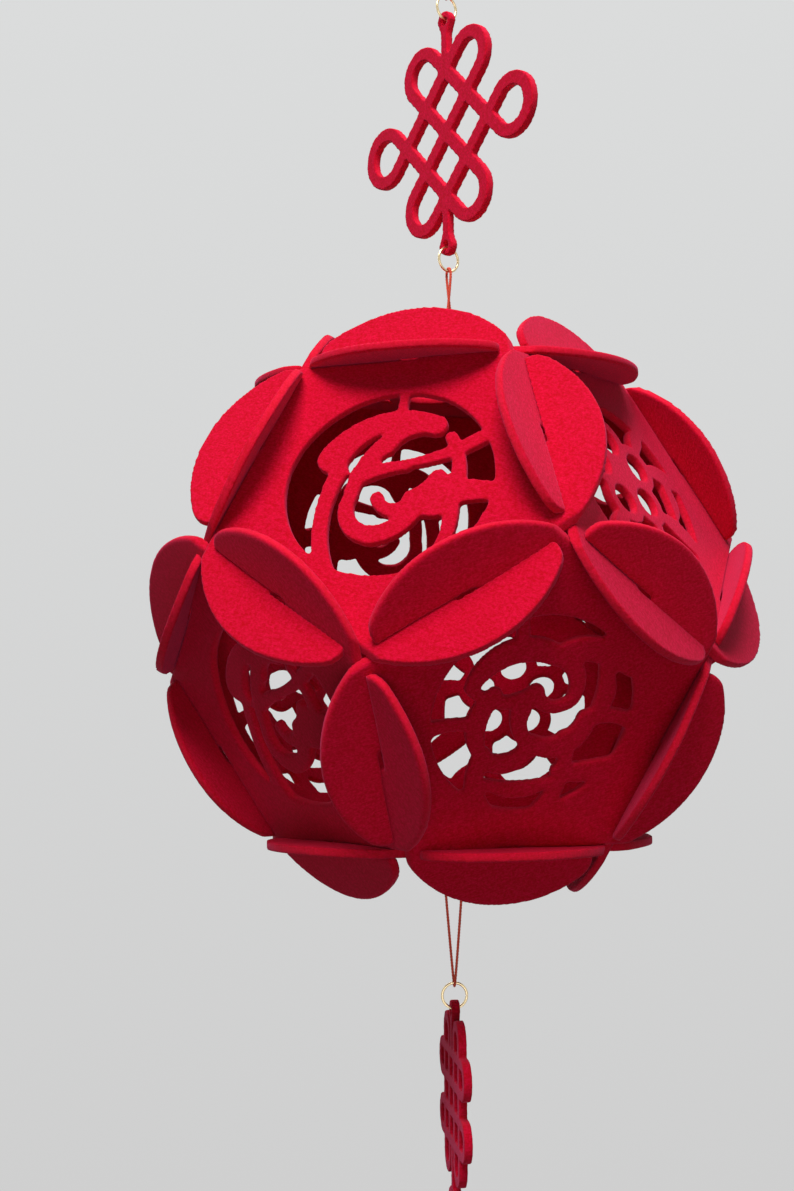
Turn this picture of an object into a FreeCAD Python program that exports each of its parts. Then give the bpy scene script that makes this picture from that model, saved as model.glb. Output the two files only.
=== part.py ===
import FreeCAD
import Part
import math
import os
from FreeCAD import Matrix, Vector

# A hanging ball lantern made of felt.  Twelve flat felt panels, each a pentagon with five
# round lobes, slide into each other along the edges of a dodecahedron.  The ball hangs on a
# doubled elastic cord from a felt knot plate, and carries a second felt knot with a tassel.
# Wire rings link the cords to the knot plates.  Millimetres, +Z up.  The origin is the point
# of the top eye that rests on a hook.

# ---- driving dimensions ----
FELT = 3.0                    # thickness of the felt sheet
EDGE = 75.0                   # edge of each panel's pentagon
LOBE_BULGE = 20.4             # how far a lobe stands out past its edge
NOSE_SETBACK = 6.3            # how far a lobe's slit end stops short of the corner
NOSE_ROUND = 2.0              # length along the edge of the nose's rounding
NOSE_SWELL = 0.6              # how far the rounding stands out past its ends
SLIT_CLEARANCE = 0.12         # each side of the neighbour in a slit
SLIT_OVERRUN = 3.5            # how far a slit runs past the middle of its edge
WINDOW_RADIUS = 35.0
FIGURE_WEIGHT = 0.76          # how bold a window's figure is cut, 1 being fully bold
BALL_TURN = -17.3             # turn of the ball about the vertical, in degrees

CORD = 1.1                    # elastic cord, diameter
CORD_CLEARANCE = 0.3          # round the cord in its holes
CORD_HOLE_SPACING = 8.0       # between the two strands where they enter a panel
HUB_RADIUS = 8.0              # felt disc round the cord holes
HUB_STRAND = 5.6              # width of the petals and spokes round it
HUB_OVERLAP = 2.0             # how far petals and spokes run into the disc and the border

RING_OUTER = 10.0             # wire rings, outer diameter
RING_WIRE = 1.0
RING_SPLIT = 2.0              # the joint in a ring's wire, in degrees
BIGHT_CLEARANCE = 0.1         # between a ring's wire and the cord looped round it
HOLE_CLEARANCE = 0.12         # between a ring's wire and the edge of a knot's hole

KNOT_SPACING = 17.0           # upper knot: between parallel strands
KNOT_STRAND = 5.1             # width of a strand
KNOT_REACH = 10.8             # straight part of the side loops
KNOT_CORNER = 9.4             # radius of the two corner loops
KNOT_NECK = 6.0               # from the top of the side loops up to the ring's hole
KNOT_TURN = 53.0              # turn of the plate about the vertical, in degrees

PENDANT_SPACING = 10.5        # lower knot, the same sizes
PENDANT_STRAND = 3.9
PENDANT_REACH = 6.1
PENDANT_NECK = 1.8
PENDANT_TURN = 83.0
TASSEL_WIDTH = 22.0
TASSEL_LENGTH = 72.0
TASSEL_NECK = 3.0             # from the lower knot's bottom loops down to the tassel's head
TASSEL_CROWN = 3.0            # half width of the head's flat top
TASSEL_HEM_BOW = 2.5          # how far the hem bows down in the middle
TASSEL_HEAD = 9.0             # height of the tassel's uncut top
TASSEL_STRIPS = 7
TASSEL_SLIT = 0.9

BUD_RADIUS = 3.8              # round end of a knot, with the ring's hole in it
BUD_STEM = 3.6                # width of the stem between a knot and its bud
BUD_TAPER = 4.6               # from the hole to where the bud is as narrow as its stem
BUD_HOLE = 1.7                # radius

EYE_HEIGHT = 19.0             # from the hook point down to the hanging knot
EYE_HALF_WIDTH = 5.2
HANGER_DROP = 22.0            # from the hanging knot down to the bight in the top ring
UPPER_DROP = 43.0             # from the middle ring's lower wire to the top panel
LOWER_DROP = 51.7             # from the bottom panel to the lower ring's upper wire
HANGING_KNOT_RADIUS = 2.4
STOP_KNOT_RADIUS = 1.9
STOP_KNOT_GAP = 0.45          # between a stop knot and the panel
CORD_TAIL = 0.4               # how far a cord runs past a panel's inner face, into its stop knot's gap
CORD_LEAD = 5.5               # straight part of a cord outside a panel

# ---- sizes that follow ----
APOTHEM = EDGE / (2 * math.tan(math.radians(36)))
CORNER_RADIUS = EDGE / (2 * math.sin(math.radians(36)))
INRADIUS = EDGE / 2 * math.sqrt((25 + 11 * math.sqrt(5)) / 10)
FACE_ANGLE = math.degrees(math.atan(2))         # between the normals of two neighbours
RING_TILT = 90 - FACE_ANGLE                     # slope of the ten side panels' normals
LOBE_RADIUS = (EDGE ** 2 / 4 + LOBE_BULGE ** 2) / (2 * LOBE_BULGE)
LOBE_CENTRE = APOTHEM + LOBE_BULGE - LOBE_RADIUS

# from each knot's centre up to the top of its loops, and to the hole in its bud
KNOT_LOOP_TOP = (1.5 * KNOT_SPACING + KNOT_REACH) / math.sqrt(2) + (KNOT_SPACING + KNOT_STRAND) / 2
KNOT_HOLE_TO_CENTRE = KNOT_LOOP_TOP + KNOT_NECK
PENDANT_LOOP_TOP = 2 * PENDANT_SPACING + PENDANT_REACH + PENDANT_STRAND / 2
PENDANT_HOLE_TO_CENTRE = PENDANT_LOOP_TOP + PENDANT_NECK

RING_RADIUS = (RING_OUTER - RING_WIRE) / 2      # to the middle of the wire
BIGHT = (RING_WIRE + CORD) / 2 + BIGHT_CLEARANCE
# A ring's wire curves away inside the thickness of a knot plate, so it bears on the hole's
# edge at the plate's two faces.
WIRE_CURVE = RING_RADIUS - math.sqrt(RING_RADIUS ** 2 - (FELT / 2) ** 2)
HOLE_OFFSET = BUD_HOLE - RING_WIRE / 2 - HOLE_CLEARANCE - WIRE_CURVE

HANGING_KNOT_Z = -EYE_HEIGHT
TOP_BIGHT_Z = HANGING_KNOT_Z - HANGER_DROP
TOP_RING_Z = TOP_BIGHT_Z + BIGHT - RING_RADIUS
KNOT_Z = TOP_RING_Z - RING_RADIUS - HOLE_OFFSET - KNOT_HOLE_TO_CENTRE
MIDDLE_RING_Z = KNOT_Z - KNOT_HOLE_TO_CENTRE - HOLE_OFFSET - RING_RADIUS
MIDDLE_WIRE_Z = MIDDLE_RING_Z - RING_RADIUS
TOP_PANEL_Z = MIDDLE_WIRE_Z - UPPER_DROP
BALL_Z = TOP_PANEL_Z - INRADIUS
BOTTOM_PANEL_Z = BALL_Z - INRADIUS
LOWER_WIRE_Z = BOTTOM_PANEL_Z - LOWER_DROP
LOWER_RING_Z = LOWER_WIRE_Z - RING_RADIUS
PENDANT_Z = LOWER_RING_Z - RING_RADIUS - HOLE_OFFSET - PENDANT_HOLE_TO_CENTRE


def across(turn):
    """Level direction in a knot plate, and the axis of the rings that it hangs from."""
    return Vector(math.cos(math.radians(turn)), -math.sin(math.radians(turn)), 0)


def through(turn):
    """Normal of a knot plate: the line of the ring's wire in its hole."""
    return Vector(math.sin(math.radians(turn)), math.cos(math.radians(turn)), 0)


def polar(radius, degrees):
    angle = math.radians(degrees)
    return Vector(radius * math.cos(angle), radius * math.sin(angle), 0)


# ---- flat shapes, drawn in the XY plane and cut from one sheet ----
def curve(start, middle, end):
    """Arc through three points, or a line where they are straight."""
    turn = (middle - start).cross(end - middle).Length
    if turn < 1e-6 * (end - start).Length ** 2:
        return Part.LineSegment(start, end).toShape()
    return Part.Arc(start, middle, end).toShape()


def sheet(edges):
    """A closed outline as a piece of felt, with its middle plane at Z 0."""
    outline = Part.Face(Part.Wire(edges))
    return outline.extrude(Vector(0, 0, FELT)).translated(Vector(0, 0, -FELT / 2))


def disc(centre, radius):
    return Part.makeCylinder(radius, FELT, centre - Vector(0, 0, FELT / 2))


def stroke(start, end, bulge, widths):
    """A band with round ends, bent sideways by bulge, with its width at start, middle and end."""
    along = (end - start).normalize()
    side = Vector(-along.y, along.x, 0)
    middle = (start + end) / 2 + side * bulge
    lean = math.atan2(4 * bulge, (end - start).Length)
    side_start = side * math.cos(lean) - along * math.sin(lean)
    side_end = side * math.cos(lean) + along * math.sin(lean)
    tip_start = Vector(-side_start.y, side_start.x, 0)
    tip_end = Vector(side_end.y, -side_end.x, 0)
    half = [width / 2 for width in widths]
    left = [start + side_start * half[0], middle + side * half[1], end + side_end * half[2]]
    right = [start - side_start * half[0], middle - side * half[1], end - side_end * half[2]]
    return sheet([
        curve(*left),
        curve(left[2], end + tip_end * half[2], right[2]),
        curve(*reversed(right)),
        curve(right[0], start + tip_start * half[0], left[0]),
    ])


def band(centre, radius, width, first, last):
    """Part of a flat ring, between two angles."""
    outer = radius + width / 2
    inner = radius - width / 2
    middle = (first + last) / 2
    return sheet([
        curve(*[centre + polar(outer, a) for a in (first, middle, last)]),
        curve(*[centre + polar(r, last) for r in (outer, radius, inner)]),
        curve(*[centre + polar(inner, a) for a in (last, middle, first)]),
        curve(*[centre + polar(r, first) for r in (inner, radius, outer)]),
    ])


def joined(pieces):
    return pieces[0].fuse(pieces[1:]).removeSplitter()


# ---- cut-out figures, drawn in a window of radius 1 and scaled to the real one ----
def strokes(rows):
    """Each row: start x, y, end x, y, sideways bulge, then three widths."""
    return [
        stroke(Vector(x0, y0) * WINDOW_RADIUS, Vector(x1, y1) * WINDOW_RADIUS,
               bulge * WINDOW_RADIUS, [w * FIGURE_WEIGHT * WINDOW_RADIUS for w in (w0, w1, w2)])
        for x0, y0, x1, y1, bulge, w0, w1, w2 in rows
    ]


def cloud_figure():
    """A rolling cloud with a curled heart and a long tail."""
    return strokes([
        (0.02, 1.04, 0.02, 0.76, 0.0, 0.14, 0.12, 0.16),
        (-0.58, 0.30, 0.38, 0.62, 0.22, 0.42, 0.30, 0.28),
        (0.38, 0.62, -0.06, 0.38, -0.09, 0.28, 0.19, 0.14),
        (-0.50, 0.16, -0.44, -1.02, -0.13, 0.22, 0.20, 0.24),
        (-0.06, 0.46, -0.36, -0.14, -0.07, 0.26, 0.22, 0.18),
        (-0.36, -0.14, -0.12, -0.56, -0.12, 0.18, 0.22, 0.26),
        (-0.12, -0.56, 0.26, -0.20, -0.11, 0.28, 0.26, 0.34),
        (0.26, -0.20, -0.10, -0.16, 0.12, 0.30, 0.20, 0.18),
        (-0.30, 0.06, 0.14, 0.18, 0.04, 0.16, 0.18, 0.12),
        (0.26, -0.18, 0.46, 0.04, -0.02, 0.30, 0.24, 0.24),
        (0.52, -0.14, 1.04, -0.14, 0.03, 0.38, 0.32, 0.24),
        (0.60, -0.20, 0.54, 0.48, -0.08, 0.26, 0.19, 0.17),
        (0.04, 0.20, 0.82, 0.46, -0.05, 0.10, 0.16, 0.20),
        (0.30, -0.22, 0.60, -0.20, -0.10, 0.22, 0.20, 0.24),
        (0.60, -0.20, 0.46, -0.96, 0.08, 0.24, 0.18, 0.22),
    ])


def blossom_figure():
    """A five-petal blossom on a bent stem with fat leaves."""
    heart = Vector(-0.10, 0.18) * WINDOW_RADIUS
    reach = 0.38 * WINDOW_RADIUS
    petal = 0.22 * WINDOW_RADIUS
    width = 0.17 * FIGURE_WEIGHT * WINDOW_RADIUS
    pieces = [disc(heart, 0.18 * WINDOW_RADIUS)]
    for k in range(5):
        centre = heart + polar(reach, 90 + 72 * k)
        pieces.append(band(centre, petal, width, 0, 180))
        pieces.append(band(centre, petal, width, 180, 360))
    return pieces + strokes([
        (-0.10, 0.79, -0.08, 1.04, 0.02, 0.18, 0.14, 0.18),
        (-0.68, 0.30, -1.03, 0.26, 0.02, 0.18, 0.14, 0.18),
        (0.48, 0.30, 1.02, 0.14, 0.04, 0.16, 0.32, 0.20),
        (0.42, 0.50, 0.70, 0.76, 0.03, 0.14, 0.28, 0.18),
        (-0.62, 0.48, -0.76, 0.70, -0.02, 0.16, 0.26, 0.18),
        (0.12, -0.35, -0.20, -1.02, 0.10, 0.20, 0.20, 0.26),
        (0.30, -0.27, 0.80, -0.66, 0.05, 0.16, 0.36, 0.22),
        (-0.46, -0.30, -0.78, -0.70, -0.05, 0.16, 0.34, 0.22),
        (0.74, 0.20, 0.66, -0.26, 0.07, 0.14, 0.24, 0.10),
        (0.00, -0.62, -0.44, -0.56, 0.05, 0.14, 0.28, 0.10),
        (0.02, -0.72, 0.44, -0.92, 0.05, 0.14, 0.26, 0.16),
    ])


def wave_figure():
    """Rolling waves under a curling crest."""
    return strokes([
        (-0.30, 0.98, -0.24, 0.64, 0.02, 0.18, 0.16, 0.20),
        (-0.66, 0.26, 0.10, 0.60, 0.20, 0.16, 0.32, 0.28),
        (0.10, 0.60, 0.36, 0.16, 0.12, 0.28, 0.24, 0.18),
        (0.36, 0.16, -0.02, 0.22, 0.12, 0.18, 0.17, 0.22),
        (-0.02, 0.22, -0.66, 0.26, 0.12, 0.22, 0.17, 0.16),
        (0.14, 0.62, 0.90, 0.44, 0.12, 0.20, 0.34, 0.18),
        (0.62, 0.48, 0.62, -0.02, 0.07, 0.14, 0.26, 0.18),
        (-0.42, 0.20, -0.48, -0.40, -0.10, 0.20, 0.26, 0.18),
        (-0.48, -0.40, 0.02, -0.32, -0.16, 0.18, 0.26, 0.22),
        (0.02, -0.32, -0.14, 0.02, 0.06, 0.22, 0.20, 0.26),
        (0.02, -0.30, 0.54, -0.06, -0.16, 0.22, 0.30, 0.26),
        (0.54, -0.06, 1.04, -0.12, 0.06, 0.26, 0.20, 0.22),
        (0.36, -0.26, 0.26, -1.00, 0.08, 0.24, 0.20, 0.28),
        (0.34, -0.60, 0.86, -0.54, -0.05, 0.18, 0.28, 0.18),
        (-0.44, -0.42, -0.36, -1.00, -0.08, 0.22, 0.24, 0.26),
        (-0.56, -0.12, -1.03, -0.18, -0.04, 0.20, 0.16, 0.22),
        (-0.36, -0.72, 0.26, -0.72, -0.07, 0.12, 0.22, 0.12),
    ])


def hub_figure():
    """Five open petals round a plain disc.  It carries the cord of the top or bottom panel."""
    pieces = [disc(Vector(), HUB_RADIUS)]
    petal_centre = (HUB_RADIUS + WINDOW_RADIUS) / 2
    petal_radius = (WINDOW_RADIUS - HUB_RADIUS - HUB_STRAND) / 2 + HUB_OVERLAP
    waist = 0.7 * HUB_STRAND
    for k in range(5):
        centre = polar(petal_centre, 90 + 72 * k)
        pieces.append(band(centre, petal_radius, HUB_STRAND, 0, 180))
        pieces.append(band(centre, petal_radius, HUB_STRAND, 180, 360))
        inner = polar(HUB_RADIUS - HUB_OVERLAP, 54 + 72 * k)
        outer = polar(WINDOW_RADIUS + HUB_OVERLAP / 2, 54 + 72 * k)
        pieces.append(stroke(inner, outer, 0.0, [HUB_STRAND, waist, HUB_STRAND]))
    return pieces


# ---- the panel ----
def panel_outline():
    """Five lobes.  Each is whole at its first corner, and ends in a round nose at its second."""
    edges = []
    half = EDGE / 2
    rise = APOTHEM - LOBE_CENTRE
    nose = half - NOSE_SETBACK
    for k in range(5):
        out = polar(1, 90 + 72 * k)
        along = Vector(-out.y, out.x, 0)
        first = out * APOTHEM - along * half
        second = out * APOTHEM + along * half
        shoulder_along = nose - NOSE_ROUND
        shoulder_out = math.sqrt(LOBE_RADIUS ** 2 - shoulder_along ** 2) - rise
        shoulder = out * (APOTHEM + shoulder_out) + along * shoulder_along
        front = out * (APOTHEM + shoulder_out / 2) + along * (nose + NOSE_SWELL)
        heel = out * APOTHEM + along * nose
        edges.append(Part.Arc(first, out * (APOTHEM + LOBE_BULGE), shoulder).toShape())
        edges.append(Part.Arc(shoulder, front, heel).toShape())
        edges.append(Part.LineSegment(heel, second).toShape())
    return edges


def slit(k):
    """Room for the neighbour across edge k, from past the edge's middle out to its second corner.
    The blade that cuts it runs well past the felt's edge and both its faces."""
    thickness = FELT + 2 * SLIT_CLEARANCE
    length = SLIT_OVERRUN + EDGE / 2 + 2 * FELT
    depth = 4 * FELT
    start = Vector(-depth / 2, -SLIT_OVERRUN, -thickness / 2)
    blade = Part.makeBox(depth, length, thickness, start)
    blade.rotate(Vector(), Vector(0, 1, 0), FACE_ANGLE)
    blade.translate(Vector(APOTHEM, 0, 0))
    blade.rotate(Vector(), Vector(0, 0, 1), 90 + 72 * k)
    return blade


def panel(figure, turned):
    """One felt panel, facing +Z, with an edge towards +Y.  The figure is turned to stand upright."""
    window = disc(Vector(), WINDOW_RADIUS)
    border = sheet(panel_outline()).cut(window)
    pieces = [piece.copy() for piece in figure]
    for piece in pieces:
        if turned:
            piece.rotate(Vector(), Vector(0, 0, 1), 180)
    whole = joined([border] + pieces)
    return whole.cut([slit(k) for k in range(5)])


def placed(shape, normal, edge_way):
    """Moves a panel so that it faces normal, with its +Y edge towards edge_way, on the ball."""
    side = edge_way.cross(normal)
    centre = normal * INRADIUS + Vector(0, 0, BALL_Z)
    frame = Matrix(side.x, edge_way.x, normal.x, centre.x,
                   side.y, edge_way.y, normal.y, centre.y,
                   side.z, edge_way.z, normal.z, centre.z,
                   0, 0, 0, 1)
    moved = shape.copy()
    moved.Placement = FreeCAD.Placement(frame)
    return moved


def cord_holes():
    """Drills the two cord holes through a level panel at either end of the ball."""
    radius = CORD / 2 + CORD_CLEARANCE
    height = 2 * INRADIUS + 4 * FELT
    start = BALL_Z - height / 2
    half = CORD_HOLE_SPACING / 2
    return [Part.makeCylinder(radius, height, Vector(x, 0, start)) for x in (-half, half)]


def ball():
    """The twelve panels, by name."""
    figures = [cloud_figure(), blossom_figure(), wave_figure()]
    flat = Vector(0, 0, 1)
    slope = math.radians(RING_TILT)
    pieces = {}
    hub = hub_figure()
    holes = cord_holes()
    top_way = polar(1, 270 + BALL_TURN)
    bottom_way = polar(1, 306 + BALL_TURN)
    pieces["panel_top"] = placed(panel(hub, False), flat, top_way).cut(holes)
    pieces["panel_bottom"] = placed(panel(hub, True), -flat, bottom_way).cut(holes)
    upper = [panel(figure, False) for figure in figures]
    lower = [panel(figure, True) for figure in figures]
    for k in range(5):
        out = polar(1, 270 + BALL_TURN + 72 * k)
        normal = out * math.cos(slope) + flat * math.sin(slope)
        edge_way = flat * math.cos(slope) - out * math.sin(slope)
        pieces[f"panel_upper_{k + 1}"] = placed(upper[k % 3], normal, edge_way)
        out = polar(1, 306 + BALL_TURN + 72 * k)
        normal = out * math.cos(slope) - flat * math.sin(slope)
        edge_way = -flat * math.cos(slope) - out * math.sin(slope)
        pieces[f"panel_lower_{k + 1}"] = placed(lower[(k + 2) % 3], normal, edge_way)
    return pieces


# ---- knot plates ----
def diamond_knot():
    """An endless knot on its corner: three strands each way, four side loops and two corner
    loops, drawn about its centre."""
    pieces = []
    rising = polar(1, 45)
    falling = polar(1, 135)
    long_end = KNOT_SPACING + KNOT_REACH
    corner_end = KNOT_SPACING + KNOT_CORNER
    ends = {
        1: (corner_end, long_end),
        0: (long_end, long_end),
        -1: (long_end, corner_end),
    }
    for j in (-1, 0, 1):
        low, high = ends[j]
        for way, sideways in ((rising, falling), (falling, rising)):
            offset = sideways * (KNOT_SPACING * j)
            pieces.append(strand(offset - way * low, offset + way * high, KNOT_STRAND))
    bend = KNOT_SPACING / 2
    for way, sideways, first in ((rising, falling, -45), (falling, rising, 45)):
        turn_back = way * long_end + sideways * bend
        pieces.append(band(turn_back, bend, KNOT_STRAND, first, first + 180))
        pieces.append(band(-turn_back, bend, KNOT_STRAND, first + 180, first + 360))
    far = (KNOT_SPACING + KNOT_CORNER) * math.sqrt(2)
    pieces.append(band(Vector(far, 0), KNOT_CORNER, KNOT_STRAND, -135, 135))
    pieces.append(band(Vector(-far, 0), KNOT_CORNER, KNOT_STRAND, 45, 315))
    return pieces


def square_knot():
    """An endless knot on its side: four strands each way, and two loops on each side."""
    pieces = []
    reach = 1.5 * PENDANT_SPACING + PENDANT_REACH
    bend = PENDANT_SPACING / 2
    for quarter in range(4):
        out = polar(reach, 90 * quarter)
        sideways = polar(PENDANT_SPACING, 90 * quarter + 90)
        for centre in (out + sideways, out - sideways):
            pieces.append(band(centre, bend, PENDANT_STRAND, 90 * quarter - 90, 90 * quarter + 90))
    for j in (-1.5, -0.5, 0.5, 1.5):
        offset = j * PENDANT_SPACING
        pieces.append(strand(Vector(offset, -reach), Vector(offset, reach), PENDANT_STRAND))
        pieces.append(strand(Vector(-reach, offset), Vector(reach, offset), PENDANT_STRAND))
    return pieces


def strand(start, end, width):
    return stroke(start, end, 0.0, [width] * 3)


def bud(lattice, hole):
    """A stem from the lattice's end out to a tear-shaped bud round the hole.  Heights are
    negative below the knot."""
    way = math.copysign(1, hole)
    taper = Vector(0, hole - way * BUD_TAPER)
    widths = [2 * BUD_RADIUS, BUD_RADIUS + BUD_STEM / 2, BUD_STEM]
    return [
        strand(Vector(0, lattice), Vector(0, hole), BUD_STEM),
        stroke(Vector(0, hole), taper, 0.0, widths),
    ]


def bud_hole(y):
    return disc(Vector(0, y), BUD_HOLE)


def upright(shape, turn, z):
    """Stands a flat shape up, turns it about the vertical and sets its origin at height z."""
    side = across(turn)
    normal = side.cross(Vector(0, 0, 1))
    frame = Matrix(side.x, 0, normal.x, 0,
                   side.y, 0, normal.y, 0,
                   0, 1, 0, z,
                   0, 0, 0, 1)
    moved = shape.copy()
    moved.Placement = FreeCAD.Placement(frame)
    return moved


def upper_knot():
    top = KNOT_SPACING * math.sqrt(2)
    pieces = diamond_knot() + bud(top, KNOT_HOLE_TO_CENTRE) + bud(-top, -KNOT_HOLE_TO_CENTRE)
    holes = [bud_hole(KNOT_HOLE_TO_CENTRE), bud_hole(-KNOT_HOLE_TO_CENTRE)]
    return upright(joined(pieces).cut(holes), KNOT_TURN, KNOT_Z)


def lower_pendant():
    """The lower knot and its tassel, cut as one piece.  The tassel is slit into strips."""
    side = 1.5 * PENDANT_SPACING
    head_top = -PENDANT_LOOP_TOP - TASSEL_NECK
    pieces = square_knot() + bud(side, PENDANT_HOLE_TO_CENTRE)
    pieces.append(strand(Vector(0, -side), Vector(0, head_top), BUD_STEM))
    pieces.append(tassel(head_top))
    cuts = [bud_hole(PENDANT_HOLE_TO_CENTRE)]
    pitch = TASSEL_WIDTH / TASSEL_STRIPS
    slit_start = head_top - TASSEL_HEAD - TASSEL_LENGTH
    for k in range(1, TASSEL_STRIPS):
        x = -TASSEL_WIDTH / 2 + k * pitch - TASSEL_SLIT / 2
        cuts.append(Part.makeBox(TASSEL_SLIT, TASSEL_LENGTH, 2 * FELT, Vector(x, slit_start, -FELT)))
    return upright(joined(pieces).cut(cuts), PENDANT_TURN, PENDANT_Z)


def tassel(head_top):
    """The tassel before it is slit: a rounded head, straight sides and a bowed hem."""
    half = TASSEL_WIDTH / 2
    shoulder = head_top - TASSEL_HEAD
    hem = head_top - TASSEL_LENGTH
    round_x = 0.78 * half
    round_y = head_top - 0.35 * TASSEL_HEAD
    crown = Vector(TASSEL_CROWN, head_top)
    crown_left = Vector(-TASSEL_CROWN, head_top)
    return sheet([
        curve(crown_left, (crown_left + crown) / 2, crown),
        curve(crown, Vector(round_x, round_y), Vector(half, shoulder)),
        Part.LineSegment(Vector(half, shoulder), Vector(half, hem)).toShape(),
        curve(Vector(half, hem), Vector(0, hem - TASSEL_HEM_BOW), Vector(-half, hem)),
        Part.LineSegment(Vector(-half, hem), Vector(-half, shoulder)).toShape(),
        curve(Vector(-half, shoulder), Vector(-round_x, round_y), crown_left),
    ])


# ---- rings, cords and cord knots ----
def wire_ring(turn, z):
    """A wire ring on edge, its axis level, with its split to one side."""
    sweep = 360 - RING_SPLIT
    ring = Part.makeTorus(RING_RADIUS, RING_WIRE / 2, Vector(), Vector(0, 0, 1), 0, 360, sweep)
    ring.rotate(Vector(), Vector(0, 0, 1), RING_SPLIT / 2)
    return upright(ring, turn - 90, z)


def tube(name, points):
    """Straight runs joined by tangent arcs, swept with the cord's section."""
    edges = []
    radii = []
    last = points[0]
    for before, corner, after in zip(points, points[1:], points[2:]):
        back = (before - corner)
        ahead = (after - corner)
        shorter = min(back.Length, ahead.Length)
        turn = math.pi - back.getAngle(ahead)
        radius = 0.45 * shorter / math.tan(turn / 2)
        radii.append(round(radius, 1))
        enter = corner + back.normalize() * (0.45 * shorter)
        leave = corner + ahead.normalize() * (0.45 * shorter)
        inward = (back + ahead).normalize()
        middle = corner + inward * (radius / math.cos(turn / 2) - radius)
        edges.append(Part.LineSegment(last, enter).toShape())
        edges.append(Part.Arc(enter, middle, leave).toShape())
        last = leave
    edges.append(Part.LineSegment(last, points[-1]).toShape())
    path = Part.Wire(edges)
    section = Part.Wire([Part.Circle(points[0], points[1] - points[0], CORD / 2).toShape()])
    solid = path.makePipeShell([section], True, True)
    expected = math.pi * (CORD / 2) ** 2 * path.Length
    print(f"{name}: length {path.Length:.1f}, volume {solid.Volume / expected:.4f} of section times length")
    print("  radii", radii)
    return solid


def hanging_cord():
    """From the hanging knot down round the top ring, back up, through the knot and round the eye."""
    side = across(KNOT_TURN)
    down = Vector(0, 0, TOP_BIGHT_Z)
    knot = Vector(0, 0, HANGING_KNOT_Z)
    top = CORD / 2
    return tube("hanging_cord", [
        knot - side * 0.7 - Vector(0, 0, 1.0),
        down - side * BIGHT,
        down + side * BIGHT,
        knot + side * 0.9 - Vector(0, 0, 1.6),
        Vector(2.4, 0, HANGING_KNOT_Z + 0.26 * EYE_HEIGHT),
        Vector(EYE_HALF_WIDTH, 0, HANGING_KNOT_Z + 0.64 * EYE_HEIGHT),
        Vector(0.62 * EYE_HALF_WIDTH, 0, top),
        Vector(-0.62 * EYE_HALF_WIDTH, 0, top),
        Vector(-EYE_HALF_WIDTH, 0, HANGING_KNOT_Z + 0.66 * EYE_HEIGHT),
        Vector(-2.2, 0, HANGING_KNOT_Z + 0.28 * EYE_HEIGHT),
        Vector(-0.8, 0, HANGING_KNOT_Z + 0.04 * EYE_HEIGHT),
    ])


def upper_cord():
    """From inside the ball up to the middle ring and back, the two strands half twisted."""
    side = across(KNOT_TURN)
    crown = Vector(0, 0, MIDDLE_WIRE_Z + BIGHT)
    half = CORD_HOLE_SPACING / 2
    panel = TOP_PANEL_Z
    return tube("upper_cord", [
        Vector(half, 0, panel - FELT / 2 - CORD_TAIL),
        Vector(half, 0, panel + CORD_LEAD),
        Vector(2.3, 0.35, panel + 15.5),
        Vector(0.7, 0.45, panel + 26.0),
        Vector(-0.2, 0.76, panel + 34.5),
        crown - side * BIGHT,
        crown + side * BIGHT,
        Vector(0.2, -0.76, panel + 34.5),
        Vector(-0.7, -0.45, panel + 26.0),
        Vector(-2.3, -0.35, panel + 15.5),
        Vector(-half, 0, panel + CORD_LEAD),
        Vector(-half, 0, panel - FELT / 2 - CORD_TAIL),
    ])


def lower_cord():
    """From inside the ball down to the lower ring and back, pulled straight by the pendant."""
    side = across(PENDANT_TURN)
    bight = Vector(0, 0, LOWER_WIRE_Z - BIGHT)
    half = CORD_HOLE_SPACING / 2
    panel = BOTTOM_PANEL_Z
    return tube("lower_cord", [
        Vector(-half, 0, panel + FELT / 2 + CORD_TAIL),
        Vector(-half, 0, panel - CORD_LEAD),
        bight - side * BIGHT,
        bight + side * BIGHT,
        Vector(half, 0, panel - CORD_LEAD),
        Vector(half, 0, panel + FELT / 2 + CORD_TAIL),
    ])


def hanging_knot():
    knot = Part.makeSphere(HANGING_KNOT_RADIUS)
    stretch = Matrix()
    stretch.scale(1.15, 1.0, 1.25)
    return knot.transformGeometry(stretch).translated(Vector(0, 0, HANGING_KNOT_Z))


def stop_knot(panel_z, inward):
    """The cord's two ends tied across the panel's inner face, so that they can't pull out."""
    half = CORD_HOLE_SPACING / 2
    z = panel_z + inward * (FELT / 2 + STOP_KNOT_GAP + STOP_KNOT_RADIUS)
    bar = Part.makeCylinder(STOP_KNOT_RADIUS, 2 * half, Vector(-half, 0, z), Vector(1, 0, 0))
    ends = [Part.makeSphere(STOP_KNOT_RADIUS, Vector(x, 0, z)) for x in (-half, half)]
    return joined([bar] + ends)


def build():
    pieces = ball()
    pieces["hanging_cord"] = hanging_cord()
    pieces["hanging_knot"] = hanging_knot()
    pieces["top_ring"] = wire_ring(KNOT_TURN, TOP_RING_Z)
    pieces["upper_knot"] = upper_knot()
    pieces["middle_ring"] = wire_ring(KNOT_TURN, MIDDLE_RING_Z)
    pieces["upper_cord"] = upper_cord()
    pieces["upper_stop_knot"] = stop_knot(TOP_PANEL_Z, -1)
    pieces["lower_cord"] = lower_cord()
    pieces["lower_stop_knot"] = stop_knot(BOTTOM_PANEL_Z, 1)
    pieces["lower_ring"] = wire_ring(PENDANT_TURN, LOWER_RING_Z)
    pieces["lower_pendant"] = lower_pendant()
    return pieces


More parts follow.
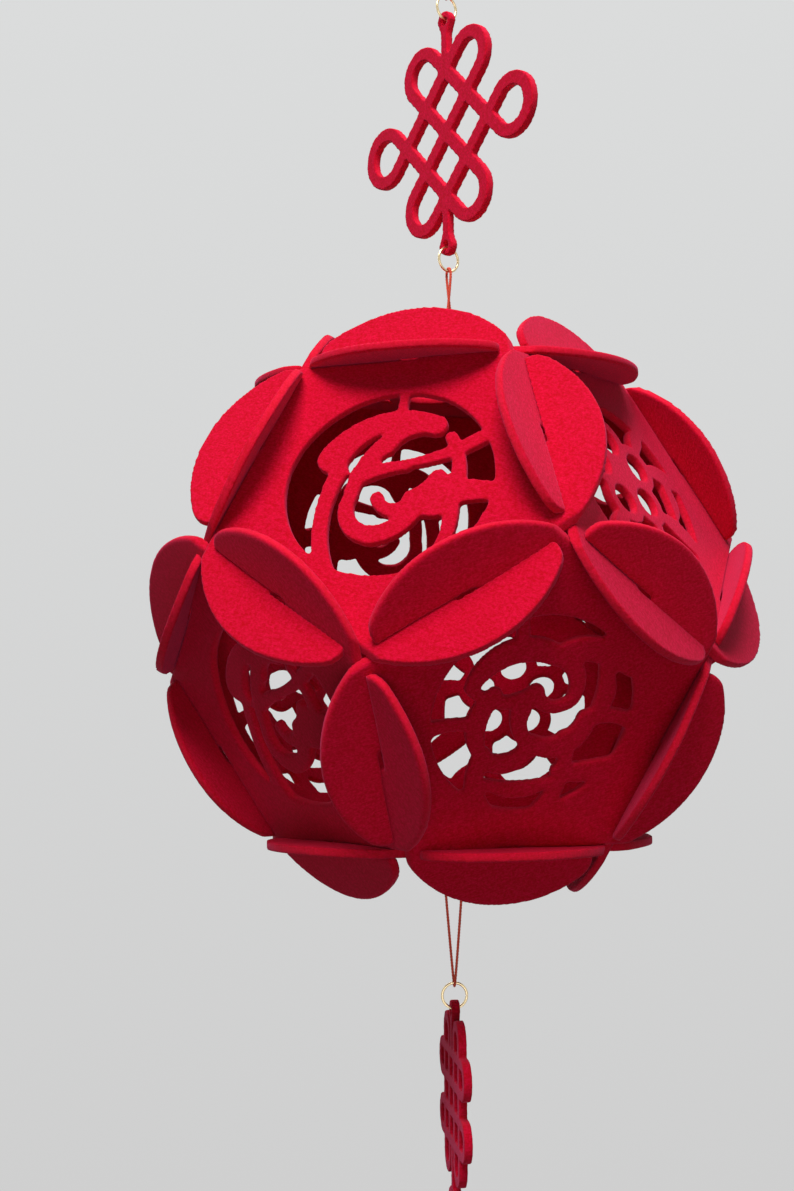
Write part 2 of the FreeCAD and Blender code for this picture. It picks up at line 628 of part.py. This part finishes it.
os.makedirs("parts", exist_ok=True)
for node, shape in build().items():
    print(node, "valid", shape.isValid(), "solids", len(shape.Solids), "volume", round(shape.Volume, 1))
    shape.exportStep(f"parts/{node}.step")
for label, z in (("top ring", TOP_RING_Z), ("knot", KNOT_Z), ("middle ring", MIDDLE_RING_Z),
                 ("ball", BALL_Z), ("lower ring", LOWER_RING_Z), ("pendant", PENDANT_Z)):
    print(label, "z", round(z, 3))
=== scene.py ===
import math

import bmesh
import bpy
from mathutils import Matrix, Vector


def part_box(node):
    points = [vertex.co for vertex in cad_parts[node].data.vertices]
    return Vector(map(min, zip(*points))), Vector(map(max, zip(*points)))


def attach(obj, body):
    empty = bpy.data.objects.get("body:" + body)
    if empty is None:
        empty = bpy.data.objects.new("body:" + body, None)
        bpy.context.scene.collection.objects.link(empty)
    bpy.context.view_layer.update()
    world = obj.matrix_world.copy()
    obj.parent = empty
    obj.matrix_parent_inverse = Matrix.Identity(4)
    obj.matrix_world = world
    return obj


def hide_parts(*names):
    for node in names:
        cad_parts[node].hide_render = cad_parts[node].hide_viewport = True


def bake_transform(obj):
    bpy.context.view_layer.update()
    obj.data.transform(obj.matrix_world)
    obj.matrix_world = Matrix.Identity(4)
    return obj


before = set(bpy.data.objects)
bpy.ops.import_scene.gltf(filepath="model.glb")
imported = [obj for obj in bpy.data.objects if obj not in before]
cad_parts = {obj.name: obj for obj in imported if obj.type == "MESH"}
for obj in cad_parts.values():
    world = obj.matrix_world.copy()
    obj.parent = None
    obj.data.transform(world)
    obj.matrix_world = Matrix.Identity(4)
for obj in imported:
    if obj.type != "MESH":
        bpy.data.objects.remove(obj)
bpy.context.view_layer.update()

# ---- Ball: twelve felt panels ----
# Each panel is cut from 3 mm needled polyester felt: a pentagon with five round lobes and a
# fretwork window.  Slits let neighbouring panels slide into each other, with no glue.
PANEL_NODES = ["panel_top", "panel_bottom"]
PANEL_NODES += [f"panel_{row}_{k}" for row in ("upper", "lower") for k in range(1, 6)]
PANEL_GRID = 0.0007           # mesh size on a panel: its narrowest strokes are 3 mm wide
RIM_SOFTENING = 0.5           # how much each of the passes rounds the cut rims, as felt's are
RIM_PASSES = 3
SAG_SIZE = 0.075              # the felt's slow waves, and how far they stand out
SAG = 0.0022
NAP_SIZE = 0.0009             # tufts on the felt's surface, and their height
NAP = 0.00004
RIM_FACING = 0.92             # a rim's normals lean at least this far from the sheet's


def finished(name, mesh, material, body):
    """A piece from its finished mesh, shaded smooth, which rides on a body."""
    piece = bpy.data.objects.new(name, mesh)
    bpy.context.scene.collection.objects.link(piece)
    mesh.materials.clear()
    mesh.materials.append(material)
    mesh.shade_smooth()
    if body:
        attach(piece, body)
    return piece


def clouds(piece, size, height, **settings):
    """Moves a piece's surface by smooth noise, of this size and height in metres."""
    texture = bpy.data.textures.new("clouds", "CLOUDS")
    texture.noise_scale = size
    texture.noise_depth = 1
    texture.cloud_type = "COLOR"
    push = piece.modifiers.new("clouds", "DISPLACE")
    push.texture = texture
    push.texture_coords = "LOCAL"
    push.strength = height
    for setting, value in settings.items():
        setattr(push, setting, value)


def draft_of(mesh):
    """An object that holds a mesh while modifiers work on it."""
    draft = bpy.data.objects.new("draft", mesh)
    bpy.context.scene.collection.objects.link(draft)
    return draft


def applied(draft):
    """The mesh that a draft's modifiers make.  The draft itself goes."""
    bpy.context.view_layer.update()
    mesh = bpy.data.meshes.new_from_object(draft.evaluated_get(bpy.context.evaluated_depsgraph_get()))
    bpy.data.objects.remove(draft)
    return mesh


def felt_mesh(node, grid, sag):
    """The cut sheet of a CAD node as felt: blunt rims, a soft nap and, with sag, slow waves."""
    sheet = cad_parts[node].data.copy()
    cut = bmesh.new()
    cut.from_mesh(sheet)
    bmesh.ops.remove_doubles(cut, verts=cut.verts, dist=1e-6)
    cut.to_mesh(sheet)
    cut.free()
    facing = max(sheet.polygons, key=lambda face: face.area).normal.copy()
    # the grid is laid along the sheet, which keeps its two sides flat
    flat = facing.rotation_difference(Vector((0, 0, 1))).to_matrix().to_4x4()
    sheet.transform(flat)
    draft = draft_of(sheet)
    remesh = draft.modifiers.new("grid", "REMESH")
    remesh.mode = "VOXEL"
    remesh.voxel_size = grid
    blunt = draft.modifiers.new("blunt", "SMOOTH")
    blunt.factor = RIM_SOFTENING
    blunt.iterations = RIM_PASSES
    felt = applied(draft)
    felt.transform(flat.inverted())
    # one field of waves for all panels, so that their slits stay on each other
    draft = draft_of(felt)
    if sag:
        clouds(draft, SAG_SIZE, sag, direction="RGB_TO_XYZ")
    clouds(draft, NAP_SIZE, NAP)
    felt = applied(draft)
    felt.attributes.new("felt_place", "FLOAT_VECTOR", "POINT")
    # the rim value is the mask for the painted sheen on the cut rims
    felt.attributes.new("rim", "FLOAT", "POINT")
    places = felt.attributes["felt_place"].data
    rims = felt.attributes["rim"].data
    for vertex in felt.vertices:
        places[vertex.index].vector = flat @ vertex.co
        lean = abs(vertex.normal.dot(facing))
        rims[vertex.index].value = max(0.0, 1 - lean / RIM_FACING)
    return felt


def linear(code):
    """An sRGB hex colour as linear red, green, blue and alpha."""
    levels = [int(code[k:k + 2], 16) / 255 for k in (1, 3, 5)]
    return [v / 12.92 if v <= 0.04045 else ((v + 0.055) / 1.055) ** 2.4 for v in levels] + [1.0]


def add_node(tree, kind, inputs, **settings):
    """Adds a node.  An input that is a socket is linked, and any other is set."""
    made = tree.nodes.new(kind)
    for setting, value in settings.items():
        setattr(made, setting, value)
    for name, value in inputs.items():
        if isinstance(value, bpy.types.NodeSocket):
            tree.links.new(value, made.inputs[name])
        else:
            made.inputs[name].default_value = value
    return made


def new_material(name, **shader):
    """A material with its Principled shader's own sockets set.  Returns it, its tree and shader."""
    material = bpy.data.materials.new(name)
    material.use_nodes = True
    principled = material.node_tree.nodes["Principled BSDF"]
    for socket, value in shader.items():
        principled.inputs[socket.replace("_", " ")].default_value = value
    return material, material.node_tree, principled


def felt_material():
    """Needled polyester felt, dyed in the fibre and pressed.  The eye sees a matt crimson with
    a soft bloom at grazing angles, clouded where the fibre lies thicker, and a painted sheen on the cut
    rims."""
    material, tree, shader = new_material(
        "needled_polyester_felt",
        Roughness=0.92, Specular_IOR_Level=0.06, IOR=1.5,
        Sheen_Weight=0.26, Sheen_Roughness=0.5, Sheen_Tint=linear("#FF6EAE"),
    )
    place = add_node(tree, "ShaderNodeAttribute", {}, attribute_name="felt_place").outputs["Vector"]
    rim = add_node(tree, "ShaderNodeAttribute", {}, attribute_name="rim").outputs["Fac"]
    # matting clouds, 0.9 mm across
    matting = add_node(tree, "ShaderNodeTexNoise", {
        "Vector": place, "Scale": 1 / 0.0009, "Detail": 4.0, "Roughness": 0.65}).outputs["Fac"]
    # fibres lie three ways; real ones are 0.02 mm thick, drawn 0.3 mm so that they show
    fibres = None
    for turn in (15, 75, 140):
        along = add_node(tree, "ShaderNodeMapping", {
            "Vector": place, "Rotation": (0, 0, math.radians(turn)),
            "Scale": (1 / 0.0024, 1 / 0.0003, 1 / 0.0003)}).outputs["Vector"]
        lay = add_node(tree, "ShaderNodeTexNoise", {
            "Vector": along, "Scale": 1.0, "Detail": 2.0, "Distortion": 0.6}).outputs["Fac"]
        if fibres is None:
            fibres = lay
        else:
            fibres = add_node(tree, "ShaderNodeMath", {0: fibres, 1: lay}, operation="MAXIMUM").outputs[0]
    depth = add_node(tree, "ShaderNodeMath", {0: matting, 1: fibres}, operation="MULTIPLY").outputs[0]
    shade = add_node(tree, "ShaderNodeMapRange", {
        "Value": depth, "From Min": 0.2, "From Max": 0.42}).outputs["Result"]
    dyed = add_node(tree, "ShaderNodeMix", {
        0: shade, 6: linear("#B80014"), 7: linear("#DA083A")}, data_type="RGBA").outputs[2]
    # painted sheen: the cut rims are mixed three tenths of the way to a highlight crimson
    rim_sheen_share = add_node(tree, "ShaderNodeMath", {0: rim, 1: 0.3}, operation="MULTIPLY").outputs[0]
    rim_sheen = add_node(tree, "ShaderNodeMix", {
        0: rim_sheen_share, 6: dyed, 7: linear("#F02038")}, data_type="RGBA").outputs[2]
    bump = add_node(tree, "ShaderNodeBump", {
        "Height": depth, "Strength": 0.4, "Distance": 0.0004}).outputs["Normal"]
    tree.links.new(rim_sheen, shader.inputs["Base Color"])
    tree.links.new(bump, shader.inputs["Normal"])
    return material


felt = felt_material()
for node in PANEL_NODES:
    panel = finished(f"{node}_felt", felt_mesh(node, PANEL_GRID, SAG), felt, "ball")
    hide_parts(node)

# ---- Cords and their stop knots ----
# Braided elastic, 1.1 mm: eight carriers over a latex core.  Each cord is doubled through its
# ring, goes through two holes in its panel and is tied inside the ball so that it can't pull out.
CORD = 0.0011
CARRIER = 0.00017             # radius of a carrier's yarn
CARRIERS = 4                  # each way round
WEAVE = 0.45                  # how far a carrier goes over and under, in yarn radii
BRAID_PITCH = 0.0044          # length of one turn of a carrier
BRAID_STEP = 0.0003


def route_line(route):
    """Points on the smooth line that has the route's points as its control points."""
    line = bpy.data.curves.new("line", "CURVE")
    line.dimensions = "3D"
    line.resolution_u = 32
    spline = line.splines.new("NURBS")
    spline.points.add(len(route) - 1)
    for point, place in zip(spline.points, route):
        point.co = (*place, 1)
    spline.order_u = 3
    spline.use_endpoint_u = True
    holder = bpy.data.objects.new("line", line)
    drawn = bpy.data.meshes.new_from_object(holder)
    points = [vertex.co.copy() for vertex in drawn.vertices]
    bpy.data.objects.remove(holder)
    return points


def even(points, step):
    """The same line with its points a step apart."""
    kept = [points[0]]
    gone = 0.0
    for before, after in zip(points, points[1:]):
        run = (after - before).length
        while gone + run >= step:
            before = before.lerp(after, (step - gone) / run)
            run = (after - before).length
            kept.append(before)
            gone = 0.0
        gone += run
    return kept + [points[-1]]


def braid(name, points):
    """A braided cord as one mesh along a line: a core, and carriers that go over and under."""
    points = even(points, BRAID_STEP)
    normal = (points[1] - points[0]).orthogonal().normalized()
    frames = []
    for k, point in enumerate(points):
        along = (points[min(k + 1, len(points) - 1)] - points[max(k - 1, 0)]).normalized()
        normal = (normal - along * normal.dot(along)).normalized()
        frames.append((point, normal, along.cross(normal)))
    yarns = bpy.data.curves.new(name, "CURVE")
    yarns.dimensions = "3D"
    yarns.bevel_depth = CARRIER
    yarns.bevel_resolution = 1
    yarns.use_fill_caps = True
    middle = CORD / 2 - (1 + WEAVE) * CARRIER
    for way in (1, -1):
        for carrier in range(CARRIERS):
            spline = yarns.splines.new("POLY")
            spline.points.add(len(frames) - 1)
            for k, (point, out, over) in enumerate(frames):
                turn = 2 * math.pi * (k * BRAID_STEP / BRAID_PITCH + carrier / CARRIERS)
                weave = math.cos(CARRIERS * turn) * WEAVE * CARRIER * way
                around = out * math.cos(way * turn) + over * math.sin(way * turn)
                spline.points[k].co = (*(point + around * (middle + weave)), 1)
    core = yarns.splines.new("POLY")
    core.points.add(len(frames) - 1)
    for k, (point, _, _) in enumerate(frames):
        core.points[k].co = (*point, 1)
        core.points[k].radius = middle / CARRIER
    holder = bpy.data.objects.new(name, yarns)
    mesh = bpy.data.meshes.new_from_object(holder)
    bpy.data.objects.remove(holder)
    mesh.name = name
    return mesh


def cord_material():
    """Polyester yarn braided over latex.  The eye sees a brick red with a faint gloss along
    each yarn, darker where the yarns dip under each other."""
    material, tree, shader = new_material(
        "braided_elastic_cord",
        Roughness=0.62, Specular_IOR_Level=0.35,
        Sheen_Weight=0.18, Sheen_Roughness=0.4, Sheen_Tint=linear("#FFA08C"),
    )
    place = add_node(tree, "ShaderNodeTexCoord", {}).outputs["Object"]
    # filaments in a yarn, 0.15 mm apart
    filaments = add_node(tree, "ShaderNodeTexNoise", {
        "Vector": place, "Scale": 1 / 0.00015, "Detail": 3.0}).outputs["Fac"]
    dyed = add_node(tree, "ShaderNodeMix", {
        0: filaments, 6: linear("#C02C1C"), 7: linear("#F26444")}, data_type="RGBA").outputs[2]
    bump = add_node(tree, "ShaderNodeBump", {
        "Height": filaments, "Strength": 0.3, "Distance": 0.00005}).outputs["Normal"]
    tree.links.new(dyed, shader.inputs["Base Color"])
    tree.links.new(bump, shader.inputs["Normal"])
    return material


def overhand(centre, wide, deep, high):
    """The closed line of an overhand knot that fills a space of these half sizes."""
    line = []
    for k in range(121):
        turn = 2 * math.pi * k / 120
        line.append(centre + Vector((
            wide / 3 * (math.sin(turn) + 2 * math.sin(2 * turn)),
            deep * -math.sin(3 * turn),
            high / 3 * (math.cos(turn) - 2 * math.cos(2 * turn)),
        )))
    return line


def middle_of(node):
    """The middle of a CAD node's box."""
    low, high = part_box(node)
    return (Vector(low) + Vector(high)) / 2


elastic = cord_material()


def tied_knot(node, body):
    """An overhand knot in the elastic, which fills the space of a CAD node."""
    low, high = (Vector(corner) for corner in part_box(node))
    half = (high - low - Vector((CORD, CORD, CORD))) / 2
    knot = finished(f"{node}_tied", braid(node, overhand(middle_of(node), *half)), elastic, body)
    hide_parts(node)
    return knot


def doubled_cord(node, route, knot):
    """A cord from its stop knot out round a ring and back, baked in place on no body."""
    line = route_line(route)
    cord = finished(f"{node}_braid", braid(node, line), elastic, None)
    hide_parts(node)
    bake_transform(cord)
    return cord


upper_route = [
    (0.0040, 0, -0.18983), (0.0040, 0, -0.18243), (0.0023, 0.00035, -0.17243),
    (0.0007, 0.00045, -0.16193), (-0.0002, 0.00076, -0.15343),
    (-0.0010, 0.0013, -0.14378), (0.0010, -0.0013, -0.14378),
    (0.0002, -0.00076, -0.15343), (-0.0007, -0.00045, -0.16193),
    (-0.0023, -0.00035, -0.17243), (-0.0040, 0, -0.18243), (-0.0040, 0, -0.18983),
]
lower_route = [
    (-0.0040, 0, -0.35306), (-0.0040, 0, -0.36046), (-0.0002, 0.0017, -0.40781),
    (0.0002, -0.0017, -0.40781), (0.0040, 0, -0.36046), (0.0040, 0, -0.35306),
]
doubled_cord("upper_cord", upper_route,
             tied_knot("upper_stop_knot", "ball"))
doubled_cord("lower_cord", lower_route,
             tied_knot("lower_stop_knot", "ball"))

# ---- Wire rings ----
# Jump rings bent from 1 mm brass-coloured steel wire.  Each is sprung open at its split to
# take a cord and a felt bud, and pressed shut.
WIRE = 0.001
RING_STEPS = 96
SPLIT = 2.0                   # degrees of the turn that the split leaves open


def wire_material():
    """Steel wire with a pale gold plating, drawn and polished.  The eye sees a bright warm
    metal with fine draw lines and a little dulling from handling."""
    material, tree, shader = new_material(
        "gold_plated_wire", Metallic=1.0, Roughness=0.24, Base_Color=linear("#EBD6A8"))
    place = add_node(tree, "ShaderNodeTexCoord", {}).outputs["Object"]
    # handling marks about 0.4 mm across
    dulled = add_node(tree, "ShaderNodeTexNoise", {
        "Vector": place, "Scale": 1 / 0.0004, "Detail": 3.0}).outputs["Fac"]
    rough = add_node(tree, "ShaderNodeMapRange", {
        "Value": dulled, "To Min": 0.16, "To Max": 0.38}).outputs["Result"]
    gold = add_node(tree, "ShaderNodeMix", {
        0: dulled, 6: linear("#D9BC84"), 7: linear("#F6E6C2")}, data_type="RGBA").outputs[2]
    bump = add_node(tree, "ShaderNodeBump", {
        "Height": dulled, "Strength": 0.12, "Distance": 0.00003}).outputs["Normal"]
    tree.links.new(gold, shader.inputs["Base Color"])
    tree.links.new(rough, shader.inputs["Roughness"])
    tree.links.new(bump, shader.inputs["Normal"])
    return material


gold_wire = wire_material()


def wire_ring(node, body):
    """A round wire spun nearly full circle about the ring's level axis, with chamfered ends."""
    low, high = (Vector(corner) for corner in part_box(node))
    radius = (high.z - low.z - WIRE) / 2
    level = high - low
    reach = math.atan2(level.y - WIRE, level.x - WIRE)
    ring = bmesh.new()
    bmesh.ops.create_circle(ring, segments=20, radius=WIRE / 2,
                            matrix=Matrix.Translation((radius, 0, 0)) @ Matrix.Rotation(math.pi / 2, 4, "X"))
    bmesh.ops.rotate(ring, verts=ring.verts, matrix=Matrix.Rotation(math.radians(SPLIT / 2), 3, "Z"))
    bmesh.ops.spin(ring, geom=ring.edges[:], axis=(0, 0, 1), cent=(0, 0, 0),
                   angle=math.radians(360 - SPLIT), steps=RING_STEPS)
    bmesh.ops.holes_fill(ring, edges=[edge for edge in ring.edges if edge.is_boundary])
    ends = [face for face in ring.faces if len(face.verts) > 4]
    bmesh.ops.bevel(ring, geom=[edge for face in ends for edge in face.edges], offset=0.00008,
                    affect="EDGES", segments=2, profile=0.5, material=-1)
    bmesh.ops.recalc_face_normals(ring, faces=ring.faces)
    stand = Matrix.Rotation(reach, 4, "Z") @ Matrix.Rotation(math.pi / 2, 4, "X")
    bmesh.ops.transform(ring, verts=ring.verts, matrix=Matrix.Translation(middle_of(node)) @ stand)
    mesh = bpy.data.meshes.new(node)
    ring.to_mesh(mesh)
    ring.free()
    made = finished(f"{node}_wire", mesh, gold_wire, body)
    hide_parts(node)


wire_ring("top_ring", "top_link")
wire_ring("middle_ring", "middle_link")
wire_ring("lower_ring", "lower_link")

# ---- Felt knots and tassel ----
# Flat endless knots cut from the same felt, each with a holed bud for its ring.  The lower one
# goes over into a tassel slit into seven strips, which part and curl a little.
KNOT_GRID = 0.0005
TASSEL_GRID = 0.00036         # the tassel's slits are 0.9 mm wide
STRIPS = 7
TASSEL_WIDTH = 0.022
SLIT_RUN = 0.0655             # height of the slit part, from the lowest point of the hem
CURL = 0.0019                 # how far a strip's end stands out of the sheet
TWIST = 0.3                   # and how far it turns, in radians
PARTING = 0.0003              # how much each slit widens down to the hem


def curl_strips(mesh):
    """Bends each strip of the tassel its own way, from the slits' tops down."""
    facing = max(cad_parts["lower_pendant"].data.polygons, key=lambda face: face.area).normal
    level = facing.cross(Vector((0, 0, 1))).normalized()
    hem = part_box("lower_pendant")[0][2]
    pitch = TASSEL_WIDTH / STRIPS
    for vertex in mesh.vertices:
        down = max(0.0, 1 - (vertex.co.z - hem) / SLIT_RUN)
        across = vertex.co.dot(level)
        strip = min(max(math.floor(across / pitch + STRIPS / 2), 0), STRIPS - 1)
        aside = strip - (STRIPS - 1) / 2
        # the sines give each strip a bend and a twist of its own
        out = CURL * math.sin(2.3 * strip + 0.6) * down ** 1.6
        out += (across - aside * pitch) * TWIST * math.sin(1.7 * strip) * down
        vertex.co += facing * out + level * aside * PARTING * down
    mesh.update()


knot = finished("upper_knot_felt", felt_mesh("upper_knot", KNOT_GRID, 0), felt, "knot_plate")
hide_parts("upper_knot")
tassel = felt_mesh("lower_pendant", TASSEL_GRID, 0)
curl_strips(tassel)
pendant = finished("lower_pendant_felt", tassel, felt, "pendant")
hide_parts("lower_pendant")

# ---- Hanging cord and its knot ----
# A third length of the elastic, looped through the top ring and tied in an overhand knot that
# leaves an eye for the hook.
hanging_route = [
    (-0.00042, 0.00056, -0.0200), (-0.00102, 0.00136, -0.04085), (0.00102, -0.00136, -0.04085),
    (0.00054, -0.00072, -0.0206), (0.0024, 0, -0.01406), (0.0052, 0, -0.00684),
    (0.00322, 0, 0.00055), (-0.00322, 0, 0.00055), (-0.0052, 0, -0.00646), (-0.0022, 0, -0.01368),
    (-0.0008, 0, -0.01824),
]
hanging_line = route_line(hanging_route)
tied = tied_knot("hanging_knot", "hanger")
hanging = finished("hanging_cord_braid", braid("hanging_cord", hanging_line), elastic, "hanger")
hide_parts("hanging_cord")

# ---- Floor, backdrop, lights and camera ----
# The lantern hangs in front of a plain pale backdrop, well above a pale floor.
BACKDROP_RADIUS = 9.0
FLOOR_RADIUS = 3.2
FLOOR_DROP = 1.3              # from the ball's middle down to the floor
CAMERA_TILT = 3.67            # upwards, in degrees
CAMERA_ROLL = -0.35
CAMERA_STAND = (-0.0200, 0.0055, 0.6084)   # left, up and back from the ball's middle
ball_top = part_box("panel_top")[1][2]
ball_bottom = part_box("panel_bottom")[0][2]
ball_centre = Vector((0, 0, (ball_top + ball_bottom) / 2))


def staged(name, shape, material):
    """A piece of the surroundings, which isn't part of the lantern."""
    mesh = bpy.data.meshes.new(name)
    shape.to_mesh(mesh)
    shape.free()
    mesh.materials.append(material)
    mesh.shade_smooth()
    made = bpy.data.objects.new(name, mesh)
    bpy.context.scene.collection.objects.link(made)
    return made


def backdrop_material():
    """Painted paper, lit evenly and a little less towards the floor."""
    material, tree, shader = new_material("pale_paper", Base_Color=linear("#000000"), Roughness=1.0,
                                          Specular_IOR_Level=0.0, Emission_Strength=1.0)
    place = add_node(tree, "ShaderNodeTexCoord", {}).outputs["Object"]
    height = add_node(tree, "ShaderNodeSeparateXYZ", {"Vector": place}).outputs["Z"]
    rise = add_node(tree, "ShaderNodeMapRange", {
        "Value": height, "From Min": -3.0, "From Max": 3.5}).outputs["Result"]
    paper = add_node(tree, "ShaderNodeMix", {
        0: rise, 6: linear("#CFCFCF"), 7: linear("#DBDCDC")}, data_type="RGBA").outputs[2]
    tree.links.new(paper, shader.inputs["Emission Color"])
    return material


def floor_material():
    """Pale painted board, which goes over into the paper's tone away from the lantern."""
    material, tree, shader = new_material("pale_board", Roughness=0.9, Specular_IOR_Level=0.1,
                                          Emission_Color=linear("#D0D0D0"))
    place = add_node(tree, "ShaderNodeTexCoord", {}).outputs["Object"]
    flat = add_node(tree, "ShaderNodeVectorMath", {0: place, 1: (1, 1, 0)}, operation="MULTIPLY").outputs[0]
    away = add_node(tree, "ShaderNodeVectorMath", {0: flat}, operation="LENGTH").outputs["Value"]
    fade = add_node(tree, "ShaderNodeMapRange", {
        "Value": away, "From Min": 0.3, "From Max": 3.0}, interpolation_type="SMOOTHSTEP").outputs["Result"]
    board = add_node(tree, "ShaderNodeMix", {
        0: fade, 6: linear("#F2F2F2"), 7: linear("#000000")}, data_type="RGBA").outputs[2]
    glow = add_node(tree, "ShaderNodeMapRange", {
        "Value": fade, "To Min": 0.35, "To Max": 1.0}).outputs["Result"]
    tree.links.new(board, shader.inputs["Base Color"])
    tree.links.new(glow, shader.inputs["Emission Strength"])
    return material


dome = bmesh.new()
bmesh.ops.create_uvsphere(dome, u_segments=64, v_segments=32, radius=BACKDROP_RADIUS)
backdrop = staged("backdrop", dome, backdrop_material())
backdrop.visible_diffuse = False
backdrop.visible_shadow = False
plane = bmesh.new()
bmesh.ops.create_circle(plane, cap_ends=True, segments=96, radius=FLOOR_RADIUS,
                        matrix=Matrix.Translation((0, 0, ball_centre.z - FLOOR_DROP)))
floor = staged("floor", plane, floor_material())
floor.visible_diffuse = False

world = bpy.data.worlds.new("studio")
bpy.context.scene.world = world
world.use_nodes = True
sky = world.node_tree.nodes["Background"]
sky.inputs["Color"].default_value = linear("#FFECE8")
sky.inputs["Strength"].default_value = 0.1


def soft_light(name, place, size, power):
    """A square lamp at a place from the ball's middle, turned towards it."""
    lamp = bpy.data.lights.new(name, "AREA")
    lamp.size = size
    lamp.energy = power
    made = bpy.data.objects.new(name, lamp)
    bpy.context.scene.collection.objects.link(made)
    made.location = ball_centre + Vector(place)
    made.rotation_euler = (-Vector(place)).to_track_quat("-Z", "Y").to_euler()


soft_light("key", (-0.2, -1.0, 1.45), 0.8, 36)
soft_light("top", (0.3, 0.4, 1.6), 0.9, 13)
soft_light("fill", (0.1, -1.9, -0.6), 1.2, 7.5)
soft_light("back", (-0.4, 1.9, 0.7), 1.4, 14)

camera_data = bpy.data.cameras.new("camera")
camera_data.lens = 50
camera = bpy.data.objects.new("camera", camera_data)
bpy.context.scene.collection.objects.link(camera)
tilt = Matrix.Rotation(math.radians(90 + CAMERA_TILT), 4, "X")
roll = Matrix.Rotation(math.radians(CAMERA_ROLL), 4, "Z")
camera.matrix_world = Matrix.Translation(ball_centre) @ tilt @ roll @ Matrix.Translation(CAMERA_STAND)
bpy.context.scene.camera = camera
bpy.context.scene.view_settings.view_transform = "Standard"
